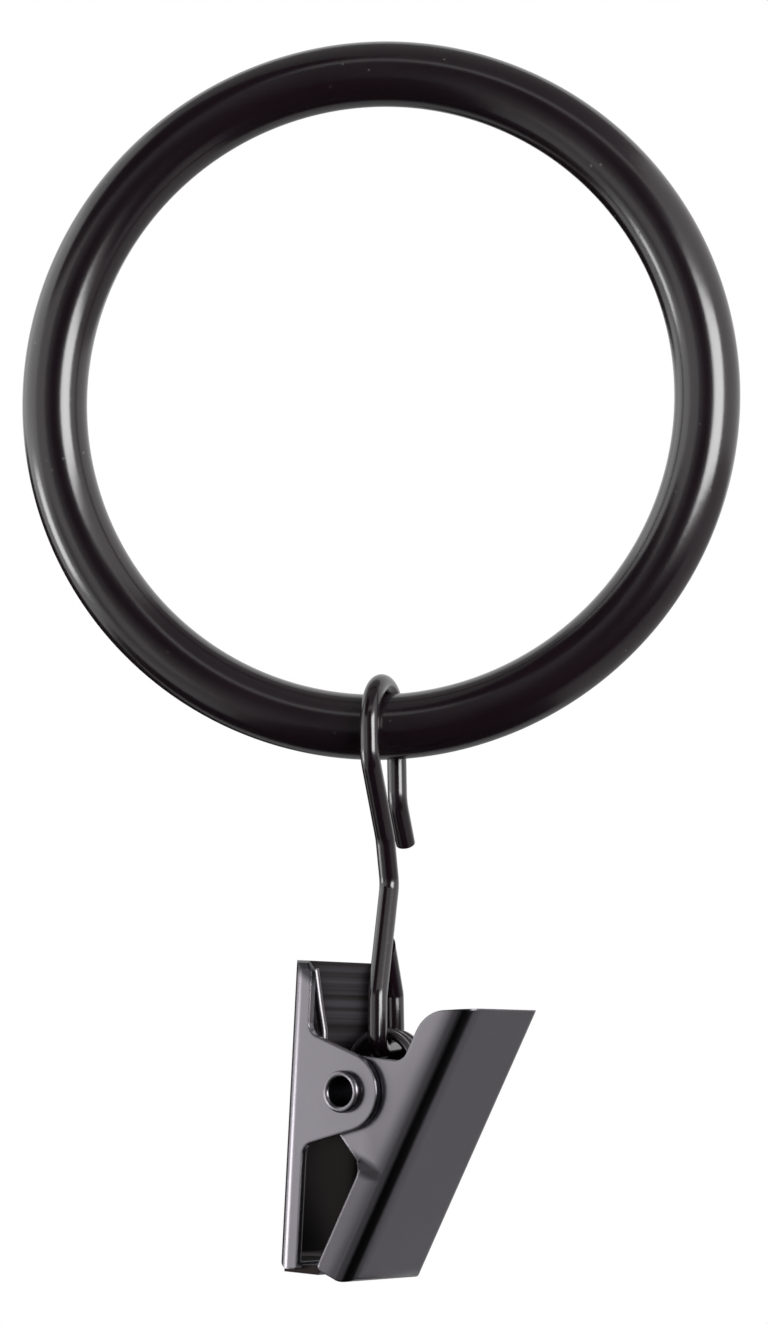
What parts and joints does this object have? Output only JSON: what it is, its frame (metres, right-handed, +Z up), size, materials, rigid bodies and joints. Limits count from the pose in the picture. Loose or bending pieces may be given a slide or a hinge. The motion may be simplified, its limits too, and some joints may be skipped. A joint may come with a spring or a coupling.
{
  "type": "curtain ring with clip",
  "caption": "Black steel curtain ring with a bent wire hook that carries a sprung two-jaw clip; the ring runs on a rod and the clip grips the top edge of a curtain.",
  "frame": {"origin": "centre of the ring", "axes": "+Z up from the clip to the ring, +Y along the curtain rod through the ring, +X across the rod in the plane of the ring"},
  "size_m": [0.0466, 0.0133, 0.0796],
  "materials": {
    "ring_enamel": "satin black enamel",
    "wire_enamel": "gloss black",
    "clip_enamel": "gloss black",
    "spring_enamel": "gloss black"
  },
  "bodies": {
    "ring": {"ring": "ring_enamel"},
    "hook": {"wire_hook": "wire_enamel"},
    "outer_jaw": {"outer_jaw": "clip_enamel", "tubular_rivet": "clip_enamel", "torsion_spring": "spring_enamel"},
    "inner_jaw": {"inner_jaw": "clip_enamel"}
  },
  "joints": [
    {"name": "hook_swing", "type": "hinge", "parent": "ring", "child": "hook", "pos_m": [0, 0, -0.02115], "axis": [1, 0, 0], "range_deg": [-80, 80]},
    {"name": "clip_swing", "type": "hinge", "parent": "hook", "child": "outer_jaw", "pos_m": [-0.00009, -0.00049, -0.04166], "axis": [0.1822, 0.9833, 0], "range_deg": [-20, 20]},
    {"name": "jaw_open", "type": "hinge", "parent": "outer_jaw", "child": "inner_jaw", "pos_m": [-0.00009, -0.00049, -0.04433], "axis": [-0.4674, -0.8827, 0.0489], "range_deg": [0, 25], "stiffness_Nm_per_rad": 0.0006, "springref_deg": -51.57, "deforming": ["torsion_spring"]}
  ]
}
